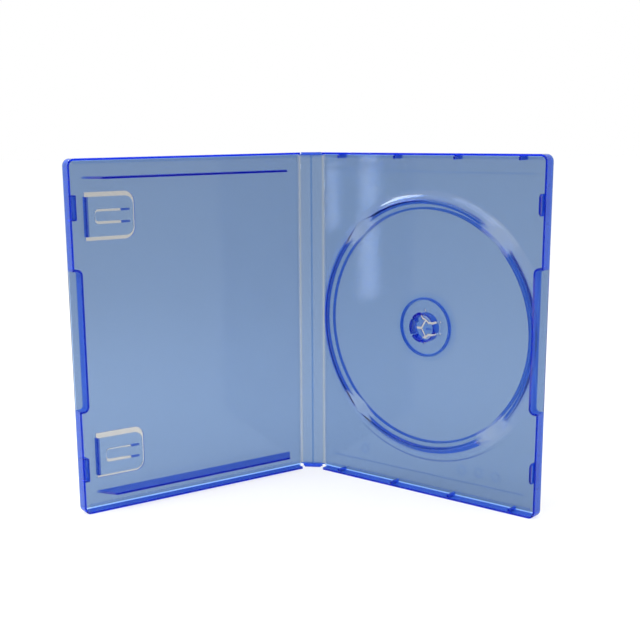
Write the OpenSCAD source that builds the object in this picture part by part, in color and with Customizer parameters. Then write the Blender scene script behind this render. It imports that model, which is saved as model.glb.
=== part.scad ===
// Folding disc case, standing open like a book.
// A front cover and a disc tray hang on a narrow spine by two thin moulded hinges.
// Local axes of every cover piece: x runs from the hinge axis to the opening edge,
// y runs up the case and z runs inward from the outermost face.

/* [Case] */
// Height of the case
case_h = 171; // [168:1:200]
// Thickness of the closed case
case_t = 14; // [14:0.5:18]
// Width of one cover from its hinge axis to its opening edge
cover_w = 134.1; // [134.1:0.1:145]
// Radius of the two outer corners of a cover
corner_r = 3.5; // [2.9:0.1:5]
// Angle that the front cover is folded in from flat
cover_fold = 44; // [0:1:90]
// Angle that the tray is folded in from flat
tray_fold = 32; // [0:1:90]

/* [Walls] */
// Thickness of the flat plates
plate_t = 0.9; // [0.8:0.05:1.3]
// Thickness of the rim walls
wall_t = 1; // [0.8:0.05:1.2]
// Radius of the outer edge all round a cover
edge_r = 1.2; // [0.8:0.1:1.6]
// Radius where a wall meets the plate inside
inner_r = 0.5; // [0.3:0.05:0.8]
// Radius on the top of a rim wall
rim_r = 0.25; // [0.1:0.05:0.35]
// Gap between the two rims of the closed case
parting_gap = 0.2; // [0.1:0.05:0.4]

/* [Border strips] */
// Height of the raised strips outside, which carry the sleeve film
strip_t = 0.3; // [0.2:0.05:0.5]
// Width of a strip from the end of the case
strip_w = 2.7; // [2:0.1:4]
// Distance from the hinge axis to the strip
strip_start = 1.5; // [1.5:0.1:3]
// Distance from the strip to the opening edge
strip_stop = 6.1; // [5:0.1:10]

/* [Moulded hinges] */
// Thickness of the hinge web
web_t = 0.4; // [0.3:0.05:0.5]
// Distance from the axis to the bevel of the plate
web_reach = 0.7; // [0.6:0.05:1]
// Distance that the web stops short of the ends of the case
web_inset = 1; // [0.5:0.1:3]
// Play between the two halves of a web
web_gap = 0.05; // [0.02:0.01:0.1]

/* [Spine] */
// Half the width of the end flanges
flange_half = 4.55; // [4:0.05:5]
// Thickness of the end flanges
flange_t = 1.6; // [1:0.1:1.8]
// Depth that the flanges reach inward
flange_d = 3.4; // [2.5:0.1:4]
// Radius of the inner corners of the flanges
flange_r = 1.2; // [0.5:0.1:1.5]
// Play between a flange and the cover walls when closed
flange_gap = 0.25; // [0.15:0.05:0.4]
// Radius of the two gate marks
gate_r = 1; // [0.6:0.1:1.5]
// Height of the gate marks
gate_t = 0.15; // [0.1:0.05:0.3]
// Distance of a gate mark from the end of the case
gate_inset = 45.3; // [25:0.1:60]

/* [Thumb recess] */
// Length of the recess along the opening edge
thumb_h = 67.2; // [60:0.1:80]
// Distance that the wall steps in
thumb_d = 4; // [3.6:0.1:4.2]
// Radius of the recess corners
thumb_r = 2; // [1:0.1:2.5]

/* [Snap catches] */
// Distance of the middle of a catch from the end of the case
catch_inset = 22.5; // [17.5:0.1:25.5]
// Length of a catch tab
tab_len = 10; // [8:0.1:12]
// Thickness of a catch tab
tab_t = 0.8; // [0.6:0.05:0.9]
// Distance between a tab and the side wall
tab_back = 0.8; // [0.8:0.05:1]
// Height that a tab stands above the tray rim
tab_h = 1.7; // [1.5:0.1:2]
// Chamfer at the ends of a tab
tab_chamfer_w = 1.3; // [0.5:0.1:2]
// Reach of the barb beyond its tab
barb_w = 0.55; // [0.5:0.05:0.6]
// Reach of the ridge that the barb hooks behind
ridge_w = 0.55; // [0.45:0.05:0.6]
// Depth of that ridge below the cover rim
ridge_depth = 0.65; // [0.5:0.05:0.8]
// Play between barb and ridge
catch_gap = 0.15; // [0.1:0.05:0.25]
// Play between a tab and its pocket
pocket_gap = 0.3; // [0.2:0.05:0.5]
// Thickness of the pocket walls
pocket_t = 0.6; // [0.5:0.05:0.9]

/* [Gussets and guide lugs] */
// Distance of a side gusset from the middle of its catch
gusset_offset = 8.5; // [8:0.1:12]
// Thickness of a gusset
gusset_t = 0.9; // [0.6:0.1:1.2]
// Reach of a gusset from the wall
gusset_w = 1.7; // [1:0.1:2.5]
// Depth of a gusset above the plate
gusset_h = 3.6; // [2:0.1:4.5]
// Reach of the diagonal rib in an outer corner
corner_rib_w = 3.4; // [2.5:0.1:5]
// Distance from the hinge axis to the first guide lug
lug_start = 15.6; // [12:0.1:20]
// Distance from the last guide lug to the opening edge
lug_stop = 13.5; // [10:0.1:20]
// Number of lugs along one wall, evenly spaced
lug_count = 4; // [2:1:4]
// Width of a lug
lug_w = 1.1; // [0.8:0.1:2.5]
// Reach of a lug from the wall
lug_reach = 1.8; // [1.5:0.1:2.6]
// Height that a lug stands above the tray rim
lug_h = 0.8; // [0.5:0.1:2]
// Play between a lug and the wall of the closed cover
lug_gap = 0.15; // [0.1:0.05:0.4]

/* [Disc well] */
// Radius of the round floor under the disc
well_r = 58.5; // [57.5:0.1:59.5]
// Radius of the wall round the disc edge
seat_r = 61.25; // [60.5:0.05:61.5]
// Depth level of the ledge under the disc edge
ledge_n = 3; // [2.4:0.1:3.1]
// Depth level of the crest of the ring
crest_n = 5; // [4.6:0.1:5.6]
// Width of the crest
crest_w = 1.95; // [1.6:0.05:2.3]
// Radius along the edges of the crest
crest_r = 0.4; // [0.2:0.05:0.5]
// Height of the upright band between the crest edge and the outer slope
slope_band_h = 0.2; // [0.1:0.05:0.4]
// Radius of the hollow outer slope
slope_r = 7.4; // [6:0.1:8.5]
// Depth that the foot of the slope runs below the plate face
slope_foot_h = 0.1; // [0.05:0.01:0.15]
// Wall thickness of the moulded ring
ring_t = 1; // [0.95:0.05:1.2]
// Distance from the hinge axis to the flat on the ring
ring_flat = 1.5; // [1.3:0.1:2]
// Lean of that flat over the ring height
ring_lean_w = 1.1; // [0.5:0.1:1.3]
// Direction of the finger notches from the width of the cover
notch_angle = 49; // [40:1:55]
// Half the width of a finger notch at the crest
notch_half = 12; // [9:0.5:14]
// Depth level of the crease in a notch
notch_n = 1.7; // [1.5:0.1:2.2]
// Radius of the two hollow flanks of a notch
notch_r = 40; // [30:1:60]

/* [Hub] */
// Radius of the hub, which fills the hole of the disc
hub_r = 7.45; // [7.2:0.05:7.5]
// Wall thickness of the hub
hub_wall = 0.9; // [0.7:0.05:1.1]
// Depth level of the top of the hub
hub_n = 6; // [5.6:0.1:6.6]
// Radius of the top edge of the hub
hub_edge_r = 0.4; // [0.2:0.05:0.5]
// Inner radius of the fixed rim of the hub
hub_rim_r = 5.6; // [5.4:0.1:6]
// Width of the slots round the snap fingers
slot_w = 1.2; // [0.7:0.05:1.25]
// Half the width of a finger's neck
neck_half = 2.4; // [2:0.1:2.6]
// Thickness of a finger's top
finger_t = 0.6; // [0.5:0.05:0.9]
// Reach of the nose that holds the disc
nose_w = 0.4; // [0.2:0.05:0.5]
// Height of the nose
nose_h = 1.3; // [1:0.1:1.4]
// Distance of the nose tip below the hub top
nose_tip_h = 1.05; // [0.9:0.05:1.2]
// Height of the rib on a finger
finger_rib_h = 0.5; // [0.3:0.05:0.8]
// Width of the rib on a finger
finger_rib_w = 0.7; // [0.5:0.05:1]
// Distance from the hub axis to the rib on a finger
finger_rib_start = 3.4; // [2.5:0.1:4]
// Length of the rib on a finger
finger_rib_len = 2.8; // [2:0.1:3]
// Play under the root of a finger
root_gap = 0.05; // [0.04:0.01:0.1]
// Radius of the relief hole at each side of a root
relief_r = 0.65; // [0.65:0.05:0.7]
// Radius of the upright ring that the disc rests on
stack_r = 14.4; // [13:0.1:16]
// Thickness of that ring
stack_w = 0.9; // [0.8:0.1:1.4]
// Depth level of its crest
stack_n = 3.2; // [2.8:0.1:3.4]
// Width of the small slopes at its foot
stack_foot_w = 0.4; // [0.2:0.1:0.8]
// Radius of the low round step about that ring
collar_r = 17.3; // [16.5:0.1:18]
// Height of the low round step
collar_h = 0.15; // [0.1:0.05:0.3]

/* [Booklet clips] */
// Distance of the middle of a clip from the end of the case
clip_inset = 27.2; // [25.5:0.1:35]
// Length of the window under the clip
window_w = 26.2; // [25:0.1:32]
// Distance from the window to the opening edge
window_stop = 10.2; // [9.5:0.1:14]
// Half the height of the window
window_half = 11.4; // [10.5:0.1:12]
// Corner radius of the window
window_r = 5.3; // [4.5:0.1:6]
// Distance from the window's rounded end to the flap
flap_margin = 2.3; // [1.5:0.1:2.8]
// Half the height of the flap
flap_half = 9.35; // [8.5:0.05:10]
// Thickness of the flap
flap_t = 0.9; // [0.7:0.05:1.2]
// Depth level of the underside of the flap
flap_n = 3.05; // [2.8:0.05:3.4]
// Thickness of the wall that carries the flap
riser_t = 0.9; // [0.8:0.05:1.2]
// Lap of that wall over the edge of the window
riser_lap = 0.1; // [0.05:0.01:0.2]
// Play between that wall and the flap
riser_gap = 0.05; // [0.04:0.01:0.1]
// Distance from the flap's free end to its ramp
ramp_start = 1.7; // [1:0.1:3]
// Length of the ramp with side cheeks
ramp_len = 4.3; // [3:0.1:6]
// Length of the whole sloping part of the tongue
slope_len = 11.2; // [8:0.1:12]
// Drop of the tongue below the flap
tongue_h = 1.6; // [1:0.1:1.7]
// Half the width of the tongue
tongue_half = 2.3; // [1.8:0.1:3]
// Width of the slot beside the tongue
tongue_slot = 1.15; // [0.8:0.05:1.5]
// Distance from the slot's closed end to the wall that carries the flap
tongue_stop = 3.8; // [3:0.1:6]
// Corner radius of the tongue
tongue_r = 1.2; // [0.6:0.1:1.7]

/* [Cover ribs] */
// Distance of the long ribs from the ends of the case
rib_inset = 9; // [7:0.1:10]
// Thickness of the long ribs
rib_t = 1; // [0.7:0.1:1.4]
// Depth level of the ribs' free edge
rib_n = 11; // [8:0.1:11]
// Distance from the hinge axis to the foot of a rib
rib_start = 8.5; // [7:0.1:14]
// Distance from the foot of a rib to the opening edge
rib_stop = 9.2; // [7:0.1:14]
// Slope of the rib ends along the cover
rib_slope = 5.9; // [3:0.1:8]
// Radius of the free edge's corners
rib_r = 1; // [0.5:0.1:2]
// Height of the faint lines on the tray and the spine
line_t = 0.3; // [0.2:0.05:0.4]
// Width of the faint lines on the tray and the spine
line_w = 0.5; // [0.4:0.05:0.8]

/* [Sleeve film] */
// Thickness of the film
film_t = 0.15; // [0.1:0.01:0.2]
// Play between the film and the border strips
film_gap = 0.1; // [0.05:0.01:0.12]

/* [Hidden] */
$fn = 64;
cover_colour = [0.48, 0.59, 0.74];
spine_colour = [0.47, 0.59, 0.75];
tray_colour = [0.46, 0.56, 0.71];
clip_colour = [0.44, 0.56, 0.74];
finger_colour = [0.55, 0.64, 0.80];
film_colour = [0.85, 0.88, 0.92];
overrun = 1;
mid_h = case_h / 2;

// Depth levels
floor_n = strip_t + plate_t;
rim_n = (case_t - parting_gap) / 2;
hinge_n = strip_t + web_t / 2;
spine_w = case_t - 2 * hinge_n;
origin_n = (strip_t + flange_d) / 2;

// Depth level of the sleeve film
film_n = -film_gap - film_t;

// Where the full plate starts, past the bevel at the hinge
plate_start = web_reach + plate_t - web_t;
// Where the walls start, clear of the spine flanges in the closed case
wall_start = flange_d - hinge_n + flange_gap;
wall_start_n = case_t / 2 - flange_half - flange_gap;
side_inner = cover_w - wall_t;
thumb_inner = cover_w - thumb_d - wall_t;

// Spacing of the guide lugs
lug_pitch = (cover_w - lug_start - lug_stop) / (lug_count - 1);

// Snap catches
tab_start = side_inner - tab_back - tab_t;
tab_n = rim_n + tab_h;
barb_n = case_t - rim_n + ridge_depth + catch_gap;
pocket_start = tab_start - pocket_gap - pocket_t;
pocket_half = tab_len / 2 + pocket_gap + pocket_t;

// Disc well
well_x = cover_w / 2;
crest_out = seat_r + crest_w;
slope_h = crest_n - crest_r - slope_band_h - floor_n + slope_foot_h;
slope_x = crest_out + sqrt(2 * slope_r * slope_h - pow(slope_h, 2));
slope_n = floor_n - slope_foot_h + slope_r;
notch_h = crest_n - notch_n;
notch_chord = sqrt(pow(notch_half, 2) + pow(notch_h, 2));
notch_arm = sqrt(pow(notch_r, 2) - pow(notch_chord / 2, 2));
notch_x = notch_half / 2 - notch_arm * notch_h / notch_chord;
notch_y = notch_n + notch_h / 2 + notch_arm * notch_half / notch_chord;

// Booklet clips
window_end = cover_w - window_stop;
window_start = window_end - window_w;
riser_end = window_end + riser_t - riser_lap;
riser_start = riser_end - riser_t;
flap_start = window_start + flap_margin;
ramp_x = flap_start + ramp_start;
slot_end = riser_start - tongue_stop;
tongue_end = slot_end - tongue_slot;

// Repeats the children at both ends of the case
module both_ends() {
    children();
    translate([0, case_h, 0]) mirror([0, 1, 0]) children();
}

// Turns the children from the hinge axis into the standing case
module place_tray() {
    translate([spine_w / 2, origin_n - hinge_n, 0])
        rotate([0, 0, -tray_fold])
            rotate([90, 0, 0]) translate([0, 0, -hinge_n]) children();
}

module place_cover() {
    mirror([1, 0, 0]) translate([spine_w / 2, origin_n - hinge_n, 0])
        rotate([0, 0, -cover_fold])
            rotate([90, 0, 0]) translate([0, 0, -hinge_n]) children();
}

module place_spine() {
    translate([0, origin_n, 0]) rotate([90, 0, 0]) children();
}

// Rectangle with its two left corners rounded
module d_shape(size, radius) {
    translate([radius, 0]) square([size[0] - radius, size[1]]);
    translate([0, radius]) square([radius, size[1] - 2 * radius]);
    for (y = [radius, size[1] - radius]) translate([radius, y]) circle(r = radius);
}

// Extrudes a section of (x, z) up the case, from one height to another
module up_case(from, to) {
    translate([0, to, 0]) rotate([90, 0, 0]) linear_extrude(to - from) children();
}

// Extrudes a section of (y, z) along a cover
module along_cover(from, to) {
    translate([from, 0, 0]) rotate([90, 0, 90]) linear_extrude(to - from) children();
}

// Quarter-round outer edge of a cover, at a given depth level
module outer_edge(level) {
    intersection() {
        translate([edge_r, level + edge_r]) circle(r = edge_r);
        union() {
            translate([0, level]) square([wall_t, edge_r]);
            translate([0, level]) square([edge_r, floor_n - level]);
        }
    }
}

// Section through a rim wall and the plate beside it: x inward from the edge, y depth
module edge_section() {
    outer_edge(strip_t);
    translate([edge_r, strip_t]) square([corner_r - edge_r, plate_t]);
    translate([0, strip_t + edge_r]) square([wall_t, rim_n - rim_r - strip_t - edge_r]);
    translate([rim_r, rim_n - 2 * rim_r]) square([wall_t - 2 * rim_r, 2 * rim_r]);
    for (x = [rim_r, wall_t - rim_r]) translate([x, rim_n - rim_r]) circle(r = rim_r);
    translate([wall_t, floor_n]) difference() {
        square(inner_r);
        translate([inner_r, inner_r]) circle(r = inner_r);
    }
}

// Section through a raised border strip
module strip_section() {
    outer_edge(0);
    translate([edge_r, 0]) square([strip_w - edge_r, floor_n]);
}

// Hinge side of a plate: half of the web, then a bevel up to full thickness
module hinge_section(start) {
    polygon([
        [start, strip_t],
        [start, strip_t + web_t],
        [web_reach, strip_t + web_t],
        [plate_start, floor_n],
        [plate_start, strip_t]
    ]);
}

// Space kept free at the hinge end of the top and bottom walls
module wall_end_cut() {
    polygon([
        [plate_start - overrun, floor_n],
        [plate_start, floor_n],
        [wall_start, wall_start_n],
        [wall_start, rim_n + overrun],
        [plate_start - overrun, rim_n + overrun]
    ]);
    translate([wall_start, rim_n - flange_r]) difference() {
        square([flange_r, flange_r + overrun]);
        translate([flange_r, 0]) circle(r = flange_r);
    }
}

// Thumb recess in plan, grown by the thickness of its wall when asked
module thumb_plan(grow) {
    translate([cover_w - thumb_d - grow, mid_h - thumb_h / 2 - grow])
        d_shape([thumb_d + grow + overrun, thumb_h + 2 * grow], thumb_r + grow);
}

// Plate and rim that the front cover and the tray share
module cover_shell() {
    difference() {
        union() {
            both_ends() {
                along_cover(plate_start, cover_w - corner_r) edge_section();
                along_cover(strip_start, cover_w - strip_stop) strip_section();
                translate([cover_w - corner_r, corner_r, 0]) mirror([0, 1, 0])
                    rotate_extrude(angle = 90)
                        translate([corner_r, 0]) mirror([1, 0]) edge_section();
            }
            translate([cover_w, 0, 0]) mirror([1, 0, 0])
                up_case(corner_r, case_h - corner_r) edge_section();
            translate([plate_start, corner_r, strip_t])
                cube([cover_w - corner_r - plate_start, case_h - 2 * corner_r, plate_t]);
        }
        up_case(-overrun, case_h + overrun) wall_end_cut();
        translate([0, 0, floor_n]) linear_extrude(case_t) thumb_plan(0);
    }
    translate([0, 0, strip_t]) linear_extrude(rim_n - strip_t) intersection() {
        difference() {
            thumb_plan(wall_t);
            thumb_plan(0);
        }
        square([cover_w - wall_t / 2, case_h]);
    }
    up_case(web_inset, case_h - web_inset) hinge_section(web_t / 2 + web_gap);
}

// Spine

module spine_section() {
    for (side = [0, 1]) mirror([side, 0]) {
        translate([spine_w / 2, 0]) mirror([1, 0]) hinge_section(0);
        translate([spine_w / 2, hinge_n]) circle(r = web_t / 2);
    }
}

module spine_flange() {
    up_case(0, flange_t) difference() {
        translate([-flange_half, strip_t]) square([2 * flange_half, flange_d - strip_t]);
        for (side = [0, 1]) mirror([side, 0])
            translate([flange_half - flange_r, flange_d - flange_r]) difference() {
                square(flange_r + overrun);
                circle(r = flange_r);
            }
    }
}

module spine() {
    color(spine_colour) place_spine() {
        up_case(web_inset, case_h - web_inset) spine_section();
        translate([plate_start - spine_w / 2, 0, strip_t])
            cube([spine_w - 2 * plate_start, case_h, plate_t]);
        translate([-line_w / 2, 0, strip_t]) cube([line_w, case_h, plate_t + line_t]);
        both_ends() {
            spine_flange();
            translate([strip_start - spine_w / 2, 0, 0])
                cube([spine_w - 2 * strip_start, strip_w, floor_n]);
            translate([0, gate_inset, strip_t]) cylinder(r = gate_r, h = plate_t + gate_t);
        }
    }
}

// Front cover

module clip_window() {
    translate([window_start, -window_half]) d_shape(
        [window_end - window_start, 2 * window_half], window_r);
}

module clip_riser() {
    translate([riser_start, -flap_half, strip_t])
        cube([riser_t, 2 * flap_half, flap_n - riser_gap - strip_t]);
}

// Pocket on the side wall, with the ridge that a tray catch hooks behind
module catch_pocket() {
    translate([pocket_start, 0, strip_t]) linear_extrude(rim_n - strip_t) difference() {
        translate([0, -pocket_half])
            d_shape([side_inner - pocket_start + wall_t / 2, 2 * pocket_half], pocket_t);
        translate([pocket_t, pocket_t - pocket_half])
            square([side_inner - pocket_start, 2 * (pocket_half - pocket_t)]);
    }
    translate([side_inner - ridge_w, pocket_t - pocket_half, rim_n - ridge_depth])
        cube([ridge_w + wall_t / 2, 2 * (pocket_half - pocket_t), ridge_depth - rim_r]);
}

// Long rib standing on the cover near one end
module cover_rib() {
    foot_end = cover_w - rib_stop;
    corner_x = rib_start + rib_slope + rib_r;
    corner_end = foot_end - rib_slope - rib_r;
    up_case(rib_inset - rib_t / 2, rib_inset + rib_t / 2) {
        polygon([
            [rib_start, floor_n],
            [rib_start + rib_slope, rib_n - rib_r],
            [corner_x, rib_n],
            [corner_end, rib_n],
            [foot_end - rib_slope, rib_n - rib_r],
            [foot_end, floor_n],
            [foot_end, strip_t],
            [rib_start, strip_t]
        ]);
        for (x = [corner_x, corner_end]) translate([x, rib_n - rib_r]) circle(r = rib_r);
    }
}

module front_cover() {
    color(cover_colour) place_cover() {
        difference() {
            cover_shell();
            both_ends() translate([0, clip_inset, 0])
                linear_extrude(floor_n + overrun) clip_window();
        }
        both_ends() {
            cover_rib();
            translate([0, clip_inset, 0]) clip_riser();
            translate([0, catch_inset, 0]) catch_pocket();
        }
    }
}

// Booklet clips

// Side view of the tongue: a ramp down from the flap, then a level tip
module tongue_section() {
    low = flap_n - tongue_h;
    polygon([
        [ramp_x, flap_n],
        [ramp_x + slope_len, low],
        [tongue_end, low],
        [tongue_end, low + flap_t],
        [ramp_x + slope_len, low + flap_t],
        [ramp_x, flap_n + flap_t]
    ]);
}

module tongue() {
    intersection() {
        up_case(-tongue_half, tongue_half) tongue_section();
        translate([tongue_end, -tongue_half, 0]) mirror([1, 0, 0])
            linear_extrude(flap_n + 2 * flap_t)
                d_shape([tongue_end - ramp_x, 2 * tongue_half], tongue_r);
    }
}

// Cheek that closes the step between flap and ramp, beside the tongue
module ramp_cheek() {
    fall = tongue_h * ramp_len / slope_len;
    up_case(tongue_half, tongue_half + tongue_slot) polygon([
        [ramp_x, flap_n],
        [ramp_x + ramp_len, flap_n - fall],
        [ramp_x + ramp_len, flap_n + flap_t],
        [ramp_x, flap_n + flap_t]
    ]);
}

module booklet_clip() {
    slot_half = tongue_half + tongue_slot;
    translate([0, 0, flap_n]) linear_extrude(flap_t) difference() {
        translate([flap_start, -flap_half]) d_shape(
            [riser_end - flap_start, 2 * flap_half], window_r - flap_margin / 2);
        translate([slot_end, -slot_half]) mirror([1, 0]) d_shape(
            [slot_end - ramp_x, 2 * slot_half], tongue_r + tongue_slot / 2);
    }
    tongue();
    for (side = [0, 1]) mirror([0, side, 0]) ramp_cheek();
}

module booklet_clip_upper() {
    color(clip_colour) place_cover() translate([0, case_h - clip_inset, 0]) booklet_clip();
}

module booklet_clip_lower() {
    color(clip_colour) place_cover() translate([0, clip_inset, 0]) booklet_clip();
}

// Disc tray

// Section of the moulded ring round the disc, from the well floor to the foot of the slope
module ring_section() {
    translate([well_r, strip_t]) square([seat_r - well_r, ledge_n - strip_t]);
    translate([seat_r, strip_t]) square([crest_w, crest_n - crest_r - strip_t]);
    translate([seat_r + crest_r, strip_t]) square([crest_w - 2 * crest_r, crest_n - strip_t]);
    for (x = [seat_r + crest_r, crest_out - crest_r])
        translate([x, crest_n - crest_r]) circle(r = crest_r);
    translate([crest_out, strip_t]) difference() {
        square([slope_x - crest_out, crest_n - strip_t]);
        translate([slope_x - crest_out, slope_n - strip_t]) circle(r = slope_r);
    }
}

// Section of the hollow under the ring, open to the outside of the tray
module ring_hollow_section() {
    translate([well_r + ring_t, strip_t - overrun])
        square([seat_r - well_r, ledge_n - ring_t - strip_t + overrun]);
    difference() {
        translate([seat_r + ring_t, strip_t - overrun])
            square([slope_x - seat_r - ring_t, crest_n - ring_t - strip_t + overrun]);
        translate([slope_x, slope_n]) circle(r = slope_r + ring_t);
    }
}

// Flat sides of the ring, by the hinge and by the thumb recess, moved in by a wall when asked
module ring_sides(inset, stop) {
    up_case(-slope_x, slope_x) polygon([
        [ring_flat + inset - well_x, strip_t - overrun],
        [ring_flat + inset - well_x, floor_n],
        [ring_flat + ring_lean_w + inset - well_x, crest_n],
        [ring_flat + ring_lean_w + inset - well_x, crest_n + overrun],
        [stop - well_x, crest_n + overrun],
        [stop - well_x, strip_t - overrun]
    ]);
}

// Finger notches: two hollow flanks that meet in a crease, lowered when asked
module notches(drop) {
    for (angle = [notch_angle, 180 - notch_angle, 180 + notch_angle, -notch_angle])
        rotate([0, 0, angle]) along_cover(well_r - overrun, slope_x + overrun)
            for (side = [0, 1]) mirror([side, 0]) intersection() {
                translate([notch_x, notch_y - drop]) circle(r = notch_r);
                square([notch_half + overrun, crest_n + overrun]);
            }
}

// The seam of the ring points up the case, clear of the flats
module disc_ring() {
    difference() {
        intersection() {
            rotate([0, 0, 90]) rotate_extrude() ring_section();
            ring_sides(0, thumb_inner + wall_t / 2);
        }
        notches(0);
    }
}

module disc_ring_hollow() {
    difference() {
        intersection() {
            rotate([0, 0, 90]) rotate_extrude() ring_hollow_section();
            ring_sides(ring_t, thumb_inner);
        }
        notches(ring_t);
    }
}

// Upright ring round the hub on a low round step, which carries the middle of the disc
module stack_ring() {
    foot_n = floor_n + collar_h;
    translate([0, 0, strip_t]) cylinder(r = collar_r, h = plate_t + collar_h);
    rotate_extrude() translate([stack_r, 0]) polygon([
        [-stack_w / 2 - stack_foot_w, strip_t],
        [-stack_w / 2 - stack_foot_w, foot_n],
        [-stack_w / 2, foot_n + stack_foot_w],
        [-stack_w / 2, stack_n],
        [stack_w / 2, stack_n],
        [stack_w / 2, foot_n + stack_foot_w],
        [stack_w / 2 + stack_foot_w, foot_n],
        [stack_w / 2 + stack_foot_w, strip_t]
    ]);
}

// Side view of the hub from its axis outward
module hub_section() {
    translate([0, strip_t]) square([hub_r, hub_n - hub_edge_r - strip_t]);
    translate([0, strip_t]) square([hub_r - hub_edge_r, hub_n - strip_t]);
    translate([hub_r - hub_edge_r, hub_n - hub_edge_r]) circle(r = hub_edge_r);
}

// Everything that is open in the hub: its inside, its mouth and the slots of the fingers
module hub_openings() {
    neck_slot = neck_half + slot_w;
    translate([0, 0, strip_t - overrun])
        cylinder(r = hub_r - hub_wall, h = hub_n - hub_wall - strip_t + overrun);
    cylinder(r = hub_rim_r, h = hub_n + overrun);
    for (angle = [0, 120, 240]) rotate([0, 0, angle]) {
        translate([0, -neck_slot, floor_n]) cube([hub_r + overrun, 2 * neck_slot, hub_n]);
        for (side = [-1, 1])
            translate([hub_r + hub_edge_r, side * (neck_half + slot_w / 2), strip_t - overrun])
                cylinder(r = relief_r, h = plate_t + 2 * overrun);
    }
}

// Tab with a barb, rising from the tray past its rim
module catch_tab() {
    half = tab_len / 2;
    barb_start = tab_start + tab_t;
    intersection() {
        up_case(-half, half) {
            translate([tab_start, strip_t]) square([tab_t, tab_n - strip_t]);
            polygon([
                [barb_start, barb_n - barb_w / 2],
                [barb_start + barb_w, barb_n],
                [barb_start, tab_n]
            ]);
        }
        along_cover(tab_start - overrun, side_inner) polygon([
            [-half, 0],
            [half, 0],
            [half, tab_n - tab_chamfer_w],
            [half - tab_chamfer_w, tab_n],
            [tab_chamfer_w - half, tab_n],
            [-half, tab_n - tab_chamfer_w]
        ]);
    }
}

module side_gusset() {
    up_case(-gusset_t / 2, gusset_t / 2) polygon([
        [side_inner + wall_t / 2, floor_n - plate_t / 2],
        [side_inner + wall_t / 2, floor_n + gusset_h],
        [side_inner, floor_n + gusset_h],
        [side_inner - gusset_w, floor_n],
        [side_inner - gusset_w, floor_n - plate_t / 2]
    ]);
}

module corner_gusset() {
    translate([cover_w - corner_r, corner_r, 0]) rotate([0, 0, -45])
        up_case(-gusset_t / 2, gusset_t / 2) polygon([
            [corner_r - wall_t / 2, floor_n - plate_t / 2],
            [corner_r - wall_t / 2, floor_n + gusset_h],
            [corner_r - wall_t, floor_n + gusset_h],
            [corner_r - corner_rib_w, floor_n],
            [corner_r - corner_rib_w, floor_n - plate_t / 2]
        ]);
}

// Lug on an end wall, which guides the closing cover
module guide_lug() {
    along_cover(-lug_w / 2, lug_w / 2) polygon([
        [wall_t / 2, floor_n - plate_t / 2],
        [wall_t / 2, rim_n - rim_r],
        [wall_t + lug_gap, rim_n - rim_r],
        [wall_t + lug_gap, rim_n + lug_h / 2],
        [wall_t + lug_gap + lug_h / 2, rim_n + lug_h],
        [wall_t + lug_reach, rim_n + lug_h],
        [wall_t + lug_reach, floor_n - plate_t / 2]
    ]);
}

module tray_line() {
    translate([rib_start, rib_inset - line_w / 2, strip_t])
        cube([cover_w - rib_start - rib_stop, line_w, plate_t + line_t]);
}

module disc_tray() {
    color(tray_colour) place_tray() {
        difference() {
            union() {
                cover_shell();
                translate([well_x, mid_h, 0]) {
                    disc_ring();
                    stack_ring();
                    rotate_extrude() hub_section();
                }
            }
            translate([well_x, mid_h, 0]) {
                disc_ring_hollow();
                hub_openings();
            }
        }
        both_ends() {
            corner_gusset();
            tray_line();
            for (i = [0:lug_count - 1])
                translate([lug_start + i * lug_pitch, 0, 0]) guide_lug();
            translate([0, catch_inset, 0]) {
                catch_tab();
                for (side = [-1, 1]) translate([0, side * gusset_offset, 0]) side_gusset();
            }
        }
    }
}

// Snap fingers of the hub

// Top of a finger in plan: a sector, then a neck out to the hub wall
module finger_plan() {
    sector = hub_r / cos(60);
    intersection() {
        circle(r = hub_rim_r - slot_w);
        translate([slot_w / 2 / sin(60), 0]) polygon([
            [0, 0],
            [sector * cos(60), sector * sin(60)],
            [sector * cos(60), -sector * sin(60)]
        ]);
    }
    translate([hub_rim_r - 2 * slot_w, -neck_half])
        square([hub_r - hub_rim_r + 2 * slot_w, 2 * neck_half]);
}

// Side view of the finger's wall and nose
module finger_wall_section() {
    root_n = floor_n + root_gap;
    translate([hub_r - hub_wall, root_n]) square([hub_wall, hub_n - hub_edge_r - root_n]);
    polygon([
        [hub_r - hub_wall / 2, hub_n - nose_tip_h - nose_h / 2],
        [hub_r, hub_n - nose_tip_h - nose_h / 2],
        [hub_r + nose_w, hub_n - nose_tip_h],
        [hub_r, hub_n - nose_tip_h + nose_h / 2],
        [hub_r - hub_wall / 2, hub_n - nose_tip_h + nose_h / 2]
    ]);
}

module hub_finger(angle) {
    color(finger_colour) place_tray() translate([well_x, mid_h, 0]) rotate([0, 0, angle]) {
        intersection() {
            translate([0, 0, hub_n - finger_t]) linear_extrude(finger_t) finger_plan();
            rotate_extrude() hub_section();
        }
        intersection() {
            rotate_extrude() finger_wall_section();
            translate([0, -neck_half, 0]) cube([hub_r + hub_wall, 2 * neck_half, hub_n]);
        }
        translate([finger_rib_start, -finger_rib_w / 2, hub_n - finger_t / 2])
            cube([finger_rib_len, finger_rib_w, finger_t / 2 + finger_rib_h]);
    }
}

module hub_finger_outer() {
    hub_finger(0);
}

module hub_finger_upper() {
    hub_finger(120);
}

module hub_finger_lower() {
    hub_finger(240);
}

// Sleeve film outside the covers and the spine

module cover_film() {
    length = cover_w - edge_r - plate_start;
    translate([plate_start + length, edge_r, film_n]) mirror([1, 0, 0])
        linear_extrude(film_t) d_shape([length, case_h - 2 * edge_r], corner_r - edge_r);
}

module sleeve_spine() {
    color(film_colour) place_spine()
        translate([plate_start - spine_w / 2, edge_r, film_n])
            cube([spine_w - 2 * plate_start, case_h - 2 * edge_r, film_t]);
}

module sleeve_front() {
    color(film_colour) place_cover() cover_film();
}

module sleeve_back() {
    color(film_colour) place_tray() cover_film();
}

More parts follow.
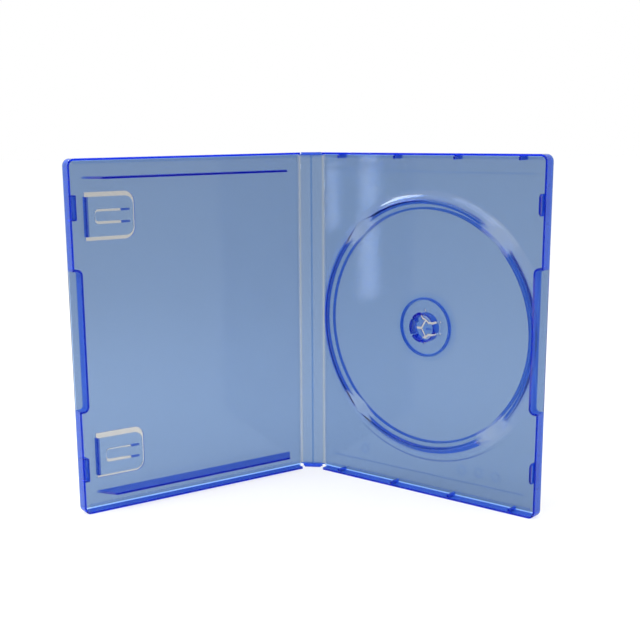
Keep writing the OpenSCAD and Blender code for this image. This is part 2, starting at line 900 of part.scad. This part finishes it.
spine();
front_cover();
booklet_clip_upper();
booklet_clip_lower();
disc_tray();
hub_finger_outer();
hub_finger_upper();
hub_finger_lower();
sleeve_spine();
sleeve_front();
sleeve_back();
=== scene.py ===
"""Folding game disc case in clear blue plastic, standing open on a pale studio floor.

A place on a cover is given in millimetres by s, along it from its hinge axis, z, up the case, and
n, inward from its outermost face. side is -1 for the front cover and 1 for the disc tray.
"""
import math

import bmesh
import bpy
from mathutils import Matrix, Vector


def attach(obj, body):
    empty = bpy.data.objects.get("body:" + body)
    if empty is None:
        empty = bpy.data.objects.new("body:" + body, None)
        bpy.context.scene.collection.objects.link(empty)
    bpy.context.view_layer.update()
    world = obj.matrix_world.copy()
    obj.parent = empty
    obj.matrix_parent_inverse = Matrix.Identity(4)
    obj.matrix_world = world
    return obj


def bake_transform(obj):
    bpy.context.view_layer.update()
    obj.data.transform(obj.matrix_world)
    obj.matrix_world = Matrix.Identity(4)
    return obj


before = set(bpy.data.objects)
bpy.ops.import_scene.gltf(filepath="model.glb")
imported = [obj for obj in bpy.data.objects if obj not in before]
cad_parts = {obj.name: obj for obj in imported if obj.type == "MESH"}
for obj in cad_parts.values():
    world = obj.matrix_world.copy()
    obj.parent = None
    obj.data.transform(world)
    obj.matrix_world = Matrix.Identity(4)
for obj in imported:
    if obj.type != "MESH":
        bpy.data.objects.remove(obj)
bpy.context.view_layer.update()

MM = 0.001
COVER = -1
TRAY = 1
CLIP_NODES = ("booklet_clip_upper", "booklet_clip_lower")
FINGER_NODES = ("hub_finger_outer", "hub_finger_upper", "hub_finger_lower")
FILM_NODES = ("sleeve_spine", "sleeve_front", "sleeve_back")

# Camera, from the photograph's own perspective
IMAGE_SIZE = 640
FOCAL_PIXELS = 1143.8
CENTRE_PIXEL = (288.2, 383.8)
CAMERA_PLACE = Vector((85.9, -604.05, 184.1)) * MM
CAMERA_YAW = math.radians(-9.332)
CAMERA_PITCH = math.radians(12.667)
CAMERA_ROLL = math.radians(-0.649)
SENSOR_MM = 36.0
CLIP_START = 0.01

# The case at rest, as the CAD source has it, in millimetres and degrees
CASE_H = 171.0
EDGE_R = 1.2
HINGE_N = 0.5
SPINE_W = 13.0
ORIGIN_N = 1.85
PLATE_START = 1.2
FLOOR_N = 1.2
FILM_OUTSIDE_N = -0.25
FILM_INSIDE_N = -0.1
COVER_FOLD = 44.0
TRAY_FOLD = 32.0
COVER_W = 134.1

# Where the booklet clips get a painted deeper shade, in millimetres. Each clip's middle is
# CLIP_INSET from an end of the case, and the cheeks are the sides of its tongue's slot, in z from
# that middle.
CLIP_INSET = 27.2
RISER_START = 123.2
CHEEK_S = (101.7, 106.0)
CHEEK_Z = (2.3, 3.45)

# Where the spine looks different: its darker centre line, and its two end flanges, which get a
# painted glow of vivid blue
LINE_W = 0.9
FLANGE_T = 1.65

# Where the disc ring looks different, by the radius from the hub: frosted notches and slope, a
# painted glow on the crest and a line of painted shade at the slope's foot. A fade runs from
# nothing to all:
# with the distance from a notch's middle, down and to the left for the crest, and with the distance
# sideways from the hub for the slope's foot.
NOTCH_RADIUS = 64.0
NOTCH_ANGLE = 49.0
NOTCH_FADE = (12.0, 9.0)
CREST_RADIUS = 63.4
CREST_W = 2.4
CREST_FADE = (12.0, -12.0)
SLOPE_START = 63.3
SLOPE_END = 69.2
FOOT_W = 0.7
FOOT_FADE = (44.0, 28.0)
RAISED_BY = 0.15
SURFACE_PLAY = 0.01

# How different it looks there, with the tints of painted glow and painted shade; WALL_FACING is how
# far faces look along n, from plate to wall
WALL_FACING = (0.75, 0.35)
# Painted glow: a vivid blue painted on walls, crest and spine flanges, where light carried along
# the plastic leaves it, with the share of it that they scatter
PAINTED_GLOW_TINT = (0.12, 0.27, 0.8, 1.0)
PAINTED_GLOW_SHARE = 0.22
CREST_GLOW_SHARE = 0.38
FROST_SHARE = 0.08
SLOPE_FROST = 0.5
GRAIN_NOISE = (900.0, 2.0)
GRAIN_SHARES = (0.8, 1.0)
# Painted shade: a deeper blue painted on the clips' riser and cheeks and along the foot of the
# ring's slope
PAINTED_SHADE_TINT = (0.28, 0.38, 0.85, 1.0)
LINE_TINT = (0.64, 0.79, 0.97, 1.0)

# The plastic and the film. A noise is its scale per metre and its detail, and a relief is its
# strength and its height in metres.
CLEAR = (0.98, 0.98, 1.0, 1.0)
CASE_IOR = 1.22
CASE_ABSORPTION = (0.12, 0.52, 0.975, 1.0)
CASE_DENSITY = 1000.0
DENSE_DENSITY = 2600.0
CASE_SURFACE = {
    "haze": (60.0, 4.0), "roughness": (0.05, 0.1), "waves": (22.0, 2.0), "relief": (0.04, 0.001),
}
FILM_COLOUR = (0.15, 0.14, 0.1, 1.0)
FILM_ALPHA = 0.36
FILM_IOR = 1.3
FILM_SURFACE = {
    "haze": (40.0, 3.0), "roughness": (0.05, 0.14), "waves": (9.0, 1.0), "relief": (0.1, 0.002),
}
FOLD_STEPS = 10

# Small moulded marks near the foot of the tray, at (s, z), with ticks outside their ring
MARK_PLACES = ((28.9, 15.6), (89.5, 14.9), (99.4, 15.3), (109.1, 15.1))
MARK_RADIUS = 2.1
MARK_LINE = 0.3
MARK_RAISE = 0.18
MARK_SINK = 0.03
MARK_STEPS = 32
MARK_TICKS = 8
TICK_REACH = (0.3, 0.9)

# Floor, in metres, and the even glow that the camera sees as a share of it, over its shaded surface
FLOOR_HALF = 6.0
FLOOR_CELLS = 8
FLOOR_DROP = 0.02 * MM
FLOOR_COLOUR = (0.9, 0.9, 0.9, 1.0)
FLOOR_ROUGHNESS = 0.9
GLOW_STRENGTH = 1.08
GLOW_SHARE = 0.6
WHITE = (1.0, 1.0, 1.0)
WARM = (1.0, 0.57, 0.3)

# Lamps: name, place, target and size in metres, power in watts, colour, spread in degrees. The
# glint lights the ring's slope. The streaks are narrow strips that the tray reflects, warm because
# their light comes through the blue cover before it meets the tray.
LAMPS = (
    ("key", (-0.7, -0.9, 1.3), (0.0, 0.0, 0.08), (0.9, 0.9), 12.0, WHITE, 180.0),
    ("fill", (1.0, -0.6, 0.7), (0.0, 0.0, 0.08), (0.6, 0.9), 4.0, WHITE, 180.0),
    ("glint", (-0.4, 0.06, 0.5), (0.05, -0.03, 0.145), (0.2, 0.2), 2.6, WHITE, 180.0),
    ("streak", (-0.22, -0.11, 0.113), (0.03, -0.012, 0.135), (0.012, 0.11), 0.0095, WARM, 30.0),
    ("short_streak", (-0.244, -0.09, 0.133), (0.006, -0.003, 0.149), (0.008, 0.05), 0.0026, WARM,
     30.0),
)


class Graph:
    """A material's node tree, with a Principled shader on its output."""

    def __init__(self, name):
        self.material = bpy.data.materials.new(name)
        self.material.use_nodes = True
        self.nodes = self.material.node_tree.nodes
        self.nodes.clear()
        self.shader = self.nodes.new("ShaderNodeBsdfPrincipled")
        self.output = self.nodes.new("ShaderNodeOutputMaterial")
        self.fill(self.output.inputs["Surface"], self.shader.outputs["BSDF"])

    def fill(self, socket, value):
        """Links an output to an input socket, or sets the socket to a plain value."""
        if isinstance(value, bpy.types.NodeSocket):
            self.material.node_tree.links.new(value, socket)
        else:
            socket.default_value = value

    def shade(self, **values):
        """Fills inputs of the shader; an underscore stands for the space in an input's name."""
        for name, value in values.items():
            self.fill(self.shader.inputs[name.replace("_", " ")], value)

    def node(self, kind, inputs, **settings):
        """New node with its settings, and with its inputs filled by name or number."""
        node = self.nodes.new(kind)
        for name, value in settings.items():
            setattr(node, name, value)
        for key, value in inputs.items():
            self.fill(node.inputs[key], value)
        return node

    def coordinates(self, kind):
        """Texture coordinates: Object is the place at rest, Normal the way that a face looks."""
        return self.node("ShaderNodeTexCoord", {}).outputs[kind]

    def math(self, operation, *values, clamp=False):
        """Result of a math node on outputs and numbers."""
        inputs = dict(enumerate(values))
        node = self.node("ShaderNodeMath", inputs, operation=operation, use_clamp=clamp)
        return node.outputs[0]

    def vector(self, operation, *values, result="Vector"):
        """Result of a vector math node on outputs and vectors."""
        node = self.node("ShaderNodeVectorMath", dict(enumerate(values)), operation=operation)
        return node.outputs[result]

    def parts(self, vector):
        """The three numbers of a vector."""
        node = self.node("ShaderNodeSeparateXYZ", {"Vector": vector})
        return node.outputs["X"], node.outputs["Y"], node.outputs["Z"]

    def product(self, first, *others):
        """Product of outputs and numbers."""
        for value in others:
            first = self.math("MULTIPLY", first, value)
        return first

    def ramp(self, value, source=(0.0, 1.0), target=(0.0, 1.0), smooth=False):
        """Maps source to target and stays at target's ends beyond it."""
        inputs = {
            "Value": value,
            "From Min": source[0],
            "From Max": source[1],
            "To Min": target[0],
            "To Max": target[1],
        }
        interpolation = "SMOOTHSTEP" if smooth else "LINEAR"
        node = self.node("ShaderNodeMapRange", inputs, interpolation_type=interpolation)
        return node.outputs["Result"]

    def noise(self, scale, detail):
        """Noise between 0 and 1 over the place at rest."""
        inputs = {"Vector": self.coordinates("Object"), "Scale": scale, "Detail": detail}
        return self.node("ShaderNodeTexNoise", inputs).outputs["Fac"]

    def place(self, turn=0.0, shift=(0.0, 0.0, 0.0)):
        """Place at rest in millimetres, turned about the upright axis and then shifted."""
        inputs = {
            "Vector": self.coordinates("Object"),
            "Scale": (1 / MM, 1 / MM, 1 / MM),
            "Rotation": (0.0, 0.0, turn),
            "Location": shift,
        }
        return self.node("ShaderNodeMapping", inputs).outputs["Vector"]

    def panel(self, side, fold, middle):
        """Place on a cover in millimetres, turned as if it stood in line with the spine.

        x is 0 where s is middle, y runs outward from the hinge axis and z up from half height.
        """
        turn = side * math.radians(fold)
        axis = Vector((side * SPINE_W / 2, ORIGIN_N - HINGE_N, 0.0))
        shift = Vector((-side * middle, 0.0, -CASE_H / 2)) - Matrix.Rotation(turn, 3, "Z") @ axis
        return self.place(turn, shift)

    def tint(self, mask, colour):
        """Turns the base colour to another where mask is 1, over what it was before."""
        socket = self.shader.inputs["Base Color"]
        before = socket.links[0].from_socket if socket.is_linked else CLEAR
        inputs = {"Factor": mask, "A": before, "B": colour}
        mix = self.node("ShaderNodeMix", inputs, data_type="RGBA")
        self.fill(socket, mix.outputs["Result"])

    def scatter(self, *shares):
        """Lets the largest of the shares scatter light at the surface instead of passing it."""
        largest = shares[0]
        for share in shares[1:]:
            largest = self.math("MAXIMUM", largest, share)
        self.shade(Transmission_Weight=self.ramp(largest, target=(1.0, 0.0)))

    def uneven(self, haze, roughness, waves, relief):
        """Roughness by one noise and relief by another, so that both vary a little."""
        inputs = {"Strength": relief[0], "Distance": relief[1], "Height": self.noise(*waves)}
        bump = self.node("ShaderNodeBump", inputs)
        self.shade(
            Roughness=self.ramp(self.noise(*haze), target=roughness),
            Normal=bump.outputs["Normal"],
        )


def make_camera():
    """Camera that looks along yaw and pitch, with a small shift for the photograph's framing."""
    sy, cy = math.sin(CAMERA_YAW), math.cos(CAMERA_YAW)
    sp, cp = math.sin(CAMERA_PITCH), math.cos(CAMERA_PITCH)
    forward = Vector((sy * cp, cy * cp, -sp))
    side = Vector((cy, -sy, 0.0))
    above = side.cross(forward)
    right = math.cos(CAMERA_ROLL) * side + math.sin(CAMERA_ROLL) * above
    up = right.cross(forward)
    data = bpy.data.cameras.new("camera")
    data.sensor_width = SENSOR_MM
    data.lens = FOCAL_PIXELS / IMAGE_SIZE * SENSOR_MM
    data.shift_x = 0.5 - CENTRE_PIXEL[0] / IMAGE_SIZE
    data.shift_y = CENTRE_PIXEL[1] / IMAGE_SIZE - 0.5
    data.clip_start = CLIP_START
    camera = bpy.data.objects.new("camera", data)
    turn = Matrix((right, up, -forward)).transposed().to_4x4()
    camera.matrix_world = Matrix.Translation(CAMERA_PLACE) @ turn
    bpy.context.collection.objects.link(camera)
    bpy.context.scene.camera = camera


def make_world():
    """Plain white surroundings."""
    world = bpy.data.worlds.new("studio")
    world.use_nodes = True
    background = world.node_tree.nodes["Background"]
    background.inputs["Color"].default_value = (*WHITE, 1.0)
    background.inputs["Strength"].default_value = 1.0
    bpy.context.scene.world = world


def is_seen(graph):
    """1 for what the camera sees directly, in a reflection or through the clear plastic."""
    path = graph.node("ShaderNodeLightPath", {})
    seen = path.outputs["Is Camera Ray"]
    for name in ("Is Glossy Ray", "Is Transmission Ray"):
        seen = graph.math("ADD", seen, path.outputs[name], clamp=True)
    return seen


def floor_material():
    """Pale matt floor that looks white and still shows a soft shadow."""
    graph = Graph("studio_floor")
    graph.shade(Base_Color=FLOOR_COLOUR, Roughness=FLOOR_ROUGHNESS)
    glow = graph.node("ShaderNodeEmission", {"Strength": GLOW_STRENGTH})
    inputs = {
        "Fac": graph.product(is_seen(graph), GLOW_SHARE),
        1: graph.shader.outputs["BSDF"],
        2: glow.outputs["Emission"],
    }
    mix = graph.node("ShaderNodeMixShader", inputs)
    graph.fill(graph.output.inputs["Surface"], mix.outputs["Shader"])
    return graph.material


def make_floor():
    """Wide floor just under the case."""
    form = bmesh.new()
    bmesh.ops.create_grid(form, x_segments=FLOOR_CELLS, y_segments=FLOOR_CELLS, size=FLOOR_HALF)
    floor = new_object(form, "studio_floor", floor_material())
    floor.location.z = -FLOOR_DROP


def area_light(name, place, target, size, power, colour, spread):
    """Rectangular softbox at place, turned to target; a narrow spread shines only ahead."""
    data = bpy.data.lights.new(name, "AREA")
    data.shape = "RECTANGLE"
    data.size, data.size_y = size
    data.energy = power
    data.color = colour
    data.spread = math.radians(spread)
    light = bpy.data.objects.new(name, data)
    light.location = place
    light.rotation_euler = (Vector(target) - Vector(place)).to_track_quat("-Z", "Y").to_euler()
    light.visible_camera = False
    bpy.context.collection.objects.link(light)


def case_plastic(name, density=CASE_DENSITY):
    """Clear blue moulded plastic: it absorbs red and green along the light's way through it."""
    graph = Graph(name)
    graph.shade(Base_Color=CLEAR, Transmission_Weight=1.0, IOR=CASE_IOR)
    graph.uneven(**CASE_SURFACE)
    inputs = {"Color": CASE_ABSORPTION, "Density": density}
    absorption = graph.node("ShaderNodeVolumeAbsorption", inputs)
    graph.fill(graph.output.inputs["Volume"], absorption.outputs["Volume"])
    return graph


def sleeve_film():
    """Thin clear film with a grey cast."""
    graph = Graph("sleeve_film")
    graph.shade(Base_Color=FILM_COLOUR, Alpha=FILM_ALPHA, IOR=FILM_IOR)
    graph.uneven(**FILM_SURFACE)
    return graph.material


def paint_wall_glow(graph, side, fold):
    """Paints a glow of vivid blue on the walls that stand up from a cover, for light that came
    along it and leaves there.

    Gives the share of light that they scatter.
    """
    turn = math.radians(fold)
    inward = Vector((-side * math.sin(turn), -math.cos(turn), 0.0))
    normal = graph.coordinates("Normal")
    facing = graph.math("ABSOLUTE", graph.vector("DOT_PRODUCT", normal, inward, result="Value"))
    # Painted glow: vivid blue painted on faces that stand across the cover
    walls = graph.ramp(facing, WALL_FACING, smooth=True)
    graph.tint(walls, PAINTED_GLOW_TINT)
    return graph.product(walls, PAINTED_GLOW_SHARE)


def cover_plastic():
    """Case plastic of the front cover, with a painted glow on its walls."""
    graph = case_plastic("cover_plastic")
    graph.scatter(paint_wall_glow(graph, COVER, COVER_FOLD))
    return graph.material


def clip_plastic():
    """Case plastic of the booklet clips, with a painted deeper shade at their riser and at the
    cheeks of the tongue.
    """
    graph = case_plastic("clip_plastic")
    s, _, z = graph.parts(graph.vector("ABSOLUTE", graph.panel(COVER, COVER_FOLD, 0.0)))
    beside = graph.math("ABSOLUTE", graph.math("SUBTRACT", z, CASE_H / 2 - CLIP_INSET))
    cheek = graph.product(
        graph.math("GREATER_THAN", beside, CHEEK_Z[0]),
        graph.math("LESS_THAN", beside, CHEEK_Z[1]),
        graph.math("GREATER_THAN", s, CHEEK_S[0]),
        graph.math("LESS_THAN", s, CHEEK_S[1]),
    )
    riser = graph.math("GREATER_THAN", s, RISER_START)
    # Painted shade: deeper blue on the riser and the cheeks
    graph.tint(graph.math("MAXIMUM", riser, cheek), PAINTED_SHADE_TINT)
    return graph.material


def tray_plastic():
    """Case plastic of the disc tray, with what sets the parts of the disc ring apart.

    The four finger notches and, less, the outer slope are finely frosted. The crest has a painted
    glow of vivid blue towards the lower left, and below a line of painted shade follows the foot of
    the slope. The walls get the painted glow too.
    """
    graph = case_plastic("tray_plastic")
    walls = paint_wall_glow(graph, TRAY, TRAY_FOLD)
    centred = graph.panel(TRAY, TRAY_FOLD, COVER_W / 2)
    along, outward, height = graph.parts(centred)
    depth = graph.math("SUBTRACT", HINGE_N, outward)
    quarter = graph.vector("MULTIPLY", graph.vector("ABSOLUTE", centred), (1.0, 0.0, 1.0))
    radius = graph.vector("LENGTH", quarter, result="Value")
    angle = math.radians(NOTCH_ANGLE)
    notch = Vector((math.cos(angle), 0.0, math.sin(angle))) * NOTCH_RADIUS
    off_notch = graph.vector("DISTANCE", quarter, notch, result="Value")
    notches = graph.ramp(off_notch, NOTCH_FADE, smooth=True)
    raised = graph.math("GREATER_THAN", depth, FLOOR_N + RAISED_BY)
    # Painted shade: a deeper blue line along the foot of the slope, on its lower half only
    foot = graph.product(
        graph.math("COMPARE", radius, SLOPE_END - FOOT_W / 2, FOOT_W / 2),
        graph.ramp(graph.math("ABSOLUTE", along), FOOT_FADE),
        graph.math("LESS_THAN", height, 0.0),
        graph.math("GREATER_THAN", depth, FLOOR_N - SURFACE_PLAY),
    )
    graph.tint(foot, PAINTED_SHADE_TINT)
    slope = graph.product(graph.math("GREATER_THAN", radius, SLOPE_START), SLOPE_FROST)
    frost = graph.product(
        graph.math("MAXIMUM", notches, slope),
        raised,
        graph.math("LESS_THAN", radius, SLOPE_END),
        graph.ramp(graph.noise(*GRAIN_NOISE), target=GRAIN_SHARES),
        FROST_SHARE,
    )
    # Painted glow: vivid blue on the crest, strongest at the lower left and fading out towards the
    # upper right
    crest = graph.product(
        graph.math("COMPARE", radius, CREST_RADIUS, CREST_W / 2),
        raised,
        graph.math("SUBTRACT", 1.0, notches),
        graph.ramp(graph.math("ADD", along, height), CREST_FADE),
    )
    graph.tint(crest, PAINTED_GLOW_TINT)
    graph.scatter(frost, walls, graph.product(crest, CREST_GLOW_SHARE))
    return graph.material


def spine_plastic():
    """Case plastic with the spine's darker centre line and a painted glow of vivid blue on its end
    flanges.
    """
    graph = case_plastic("spine_plastic")
    across, _, height = graph.parts(graph.place())
    graph.tint(graph.math("COMPARE", across, 0.0, LINE_W / 2), LINE_TINT)
    # Painted glow: vivid blue on the end flanges
    between = graph.math("COMPARE", height, CASE_H / 2, CASE_H / 2 - FLANGE_T)
    flanges = graph.math("SUBTRACT", 1.0, between)
    graph.tint(flanges, PAINTED_GLOW_TINT)
    graph.scatter(graph.product(flanges, PAINTED_GLOW_SHARE))
    return graph.material


def on_panel(side, fold, s, z, n):
    """World point, in metres, of a place on a cover at its fold."""
    turn = math.radians(fold)
    depth = n - HINGE_N
    x = SPINE_W / 2 + s * math.cos(turn) - depth * math.sin(turn)
    y = ORIGIN_N - HINGE_N - s * math.sin(turn) - depth * math.cos(turn)
    return Vector((side * x, y, z)) * MM


def join_rows(form, rows, closed):
    """Quads between rows of points; the rows close into a loop or are capped at both ends."""
    loops = [[form.verts.new(point) for point in row] for row in rows]
    pairs = list(zip(loops, loops[1:]))
    if closed:
        pairs.append((loops[-1], loops[0]))
    else:
        form.faces.new(loops[0][::-1])
        form.faces.new(loops[-1])
    for first, second in pairs:
        for i in range(len(first)):
            j = (i + 1) % len(first)
            form.faces.new((first[i], first[j], second[j], second[i]))


def new_object(form, name, material):
    """Object in the scene made from a bmesh, with its material."""
    mesh = bpy.data.meshes.new(name)
    form.to_mesh(mesh)
    form.free()
    mesh.materials.append(material)
    item = bpy.data.objects.new(name, mesh)
    bpy.context.collection.objects.link(item)
    return item


def new_piece(form, name, material):
    """Piece of the case made from a bmesh, with its face normals recalculated."""
    bmesh.ops.recalc_face_normals(form, faces=form.faces)
    piece = new_object(form, name, material)
    return piece


def moulded_mark(name, s, z, material):
    """Low raised ring with short ticks round it, on the tray's plate."""
    low, high = FLOOR_N - MARK_SINK, FLOOR_N + MARK_RAISE
    outer, inner, half = MARK_RADIUS, MARK_RADIUS - MARK_LINE, MARK_LINE / 2

    def row(turn, points):
        """Points (outward, sideways, n) seen from the mark's middle, in direction turn."""
        sine, cosine = math.sin(turn), math.cos(turn)
        return [
            on_panel(
                TRAY, TRAY_FOLD, s + out * cosine - aside * sine, z + out * sine + aside * cosine, n
            )
            for out, aside, n in points
        ]

    form = bmesh.new()
    ring = [(inner, 0.0, low), (outer, 0.0, low), (outer, 0.0, high), (inner, 0.0, high)]
    turns = [2 * math.pi * step / MARK_STEPS for step in range(MARK_STEPS)]
    join_rows(form, [row(turn, ring) for turn in turns], closed=True)
    ticks = [
        [(out, -half, low), (out, half, low), (out, half, high), (out, -half, high)]
        for out in (outer + TICK_REACH[0], outer + TICK_REACH[1])
    ]
    for tick in range(MARK_TICKS):
        turn = 2 * math.pi * tick / MARK_TICKS
        join_rows(form, [row(turn, points) for points in ticks], closed=False)
    piece = new_piece(form, name, material)
    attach(piece, "disc_tray")


def fold_line(side, fold, n):
    """Smooth curve of points (x, y) at level n, from the spine's film to a cover's."""
    turn = math.radians(fold)
    start = on_panel(side, 0.0, -PLATE_START, 0.0, n)
    end = on_panel(side, fold, PLATE_START, 0.0, n)
    reach = (end - start).length / 3
    first = start + Vector((side * reach, 0.0, 0.0))
    second = end - Vector((side * math.cos(turn), -math.sin(turn), 0.0)) * reach
    line = []
    for step in range(FOLD_STEPS + 1):
        t = step / FOLD_STEPS
        u = 1.0 - t
        point = start * u**3 + first * 3 * u * u * t + second * 3 * u * t * t + end * t**3
        line.append((point.x, point.y))
    return line


def film_fold(name, side, fold, material):
    """Where the sleeve film bends round a moulded hinge, from the spine to a cover."""
    section = fold_line(side, fold, FILM_OUTSIDE_N) + fold_line(side, fold, FILM_INSIDE_N)[::-1]
    ends = (EDGE_R * MM, (CASE_H - EDGE_R) * MM)
    form = bmesh.new()
    join_rows(form, [[(x, y, z) for x, y in section] for z in ends], closed=False)
    piece = new_piece(form, name, material)
    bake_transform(piece)


def paint(names, material):
    """Gives CAD nodes a material."""
    for name in names:
        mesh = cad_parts[name].data
        mesh.materials.clear()
        mesh.materials.append(material)


def dress_case():
    """Gives every CAD node its material, and adds the tray's marks and the film's folds."""
    film = sleeve_film()
    dense_plastic = case_plastic("dense_plastic", DENSE_DENSITY).material
    paint(CLIP_NODES, clip_plastic())
    paint(("front_cover",), cover_plastic())
    paint(("spine",), spine_plastic())
    paint(("disc_tray",), tray_plastic())
    paint(FINGER_NODES, dense_plastic)
    paint(FILM_NODES, film)
    for mark, (s, z) in enumerate(MARK_PLACES):
        moulded_mark(f"moulded_mark_{mark + 1}", s, z, dense_plastic)
    film_fold("film_fold_front", COVER, COVER_FOLD, film)
    film_fold("film_fold_tray", TRAY, TRAY_FOLD, film)


make_camera()
make_world()
make_floor()
for lamp in LAMPS:
    area_light(*lamp)
dress_case()
bpy.context.scene.view_settings.view_transform = "Standard"
